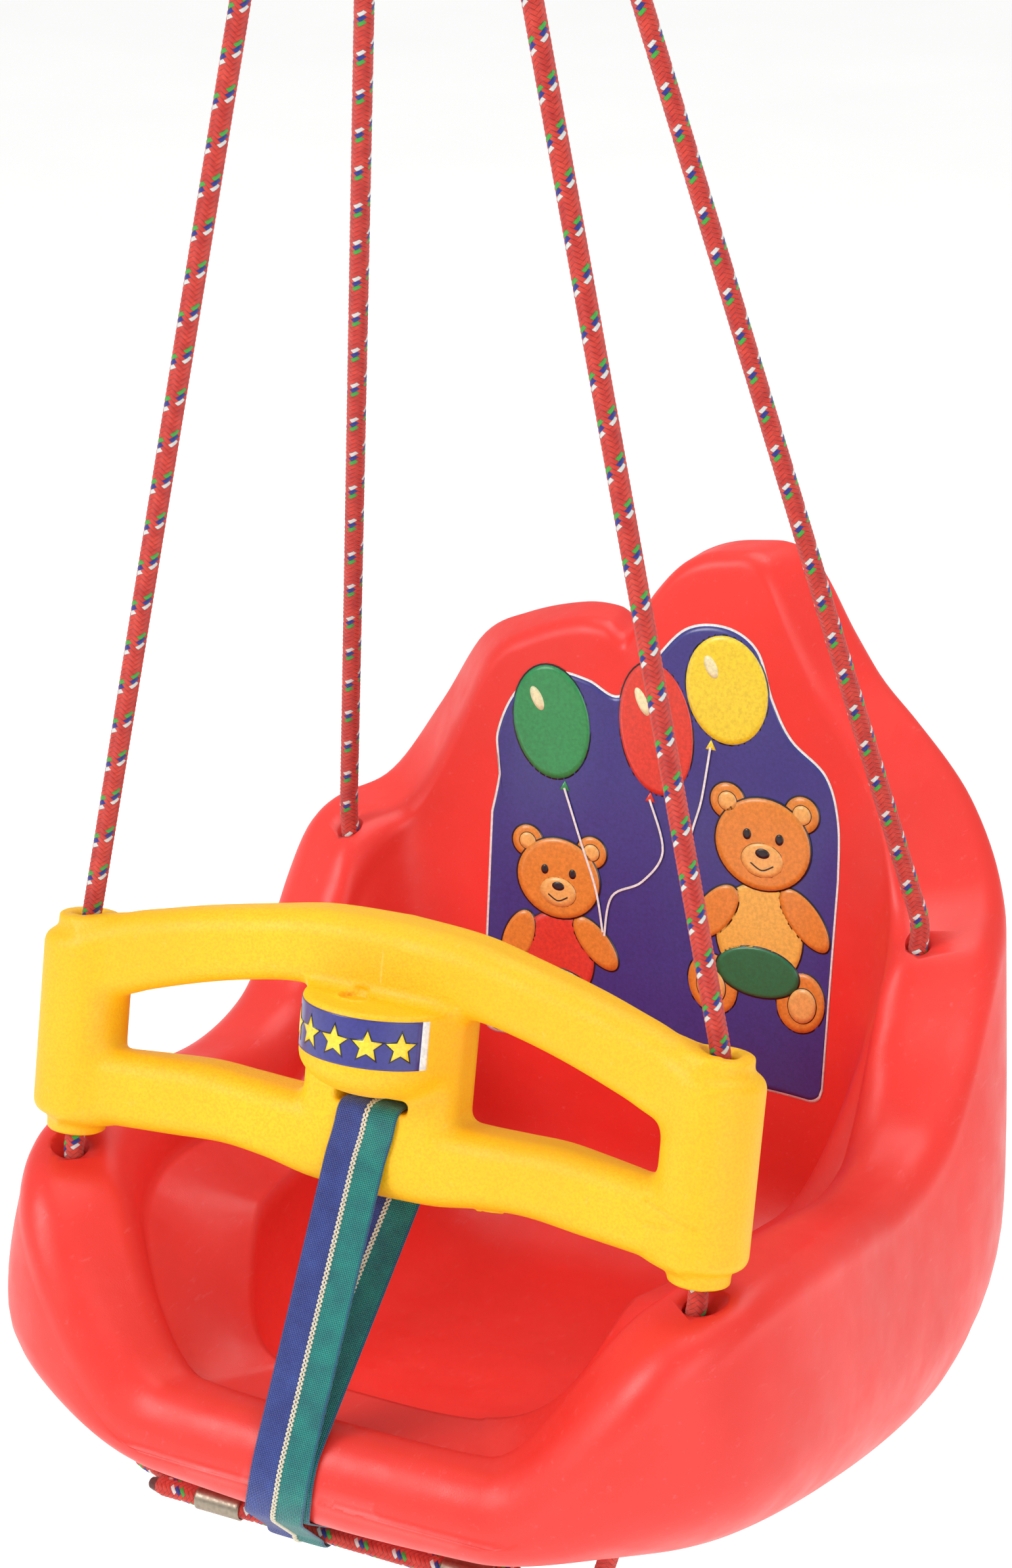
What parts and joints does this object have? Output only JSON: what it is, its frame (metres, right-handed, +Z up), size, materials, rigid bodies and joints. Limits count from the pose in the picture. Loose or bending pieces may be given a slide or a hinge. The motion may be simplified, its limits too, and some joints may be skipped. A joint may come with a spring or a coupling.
{
  "type": "toddler bucket swing",
  "caption": "Moulded toddler bucket swing seat with a guard bar that slides up its ropes, a crotch strap, and two ropes gathered on a hanging ring.",
  "frame": {"origin": "centre of the hanging ring", "axes": "+Z up along the ropes, -Y the way the child faces, X across the seat"},
  "size_m": [0.446, 0.4389, 1.2534],
  "materials": {
    "seat_plastic": "soft gloss",
    "bar_plastic": "fine grain",
    "rope": "braided",
    "clip_steel": "zinc plated",
    "ring_steel": "zinc plated",
    "webbing": "woven",
    "sticker": "printed film"
  },
  "bodies": {
    "ring": {"hanging_ring": "ring_steel"},
    "swing": {"seat_shell": "seat_plastic", "left_rope": "rope", "right_rope": "rope", "ring_clips": "clip_steel", "front_rope_clips": "clip_steel", "rear_rope_clips": "clip_steel", "crotch_strap": "webbing", "back_decal": "sticker"},
    "bar": {"guard_bar": "bar_plastic", "hub_decal": "sticker"}
  },
  "joints": [
    {"name": "seat_swing", "type": "hinge", "parent": "ring", "child": "swing", "pos_m": [0, 0, -0.02307], "axis": [1, 0, 0], "range_deg": [-45, 45]},
    {"name": "bar_slide", "type": "slide", "parent": "swing", "child": "bar", "axis": [0, 0.2011, 0.9796], "range_m": [0, 0.06], "deforming": ["left_rope", "right_rope", "crotch_strap"]}
  ]
}
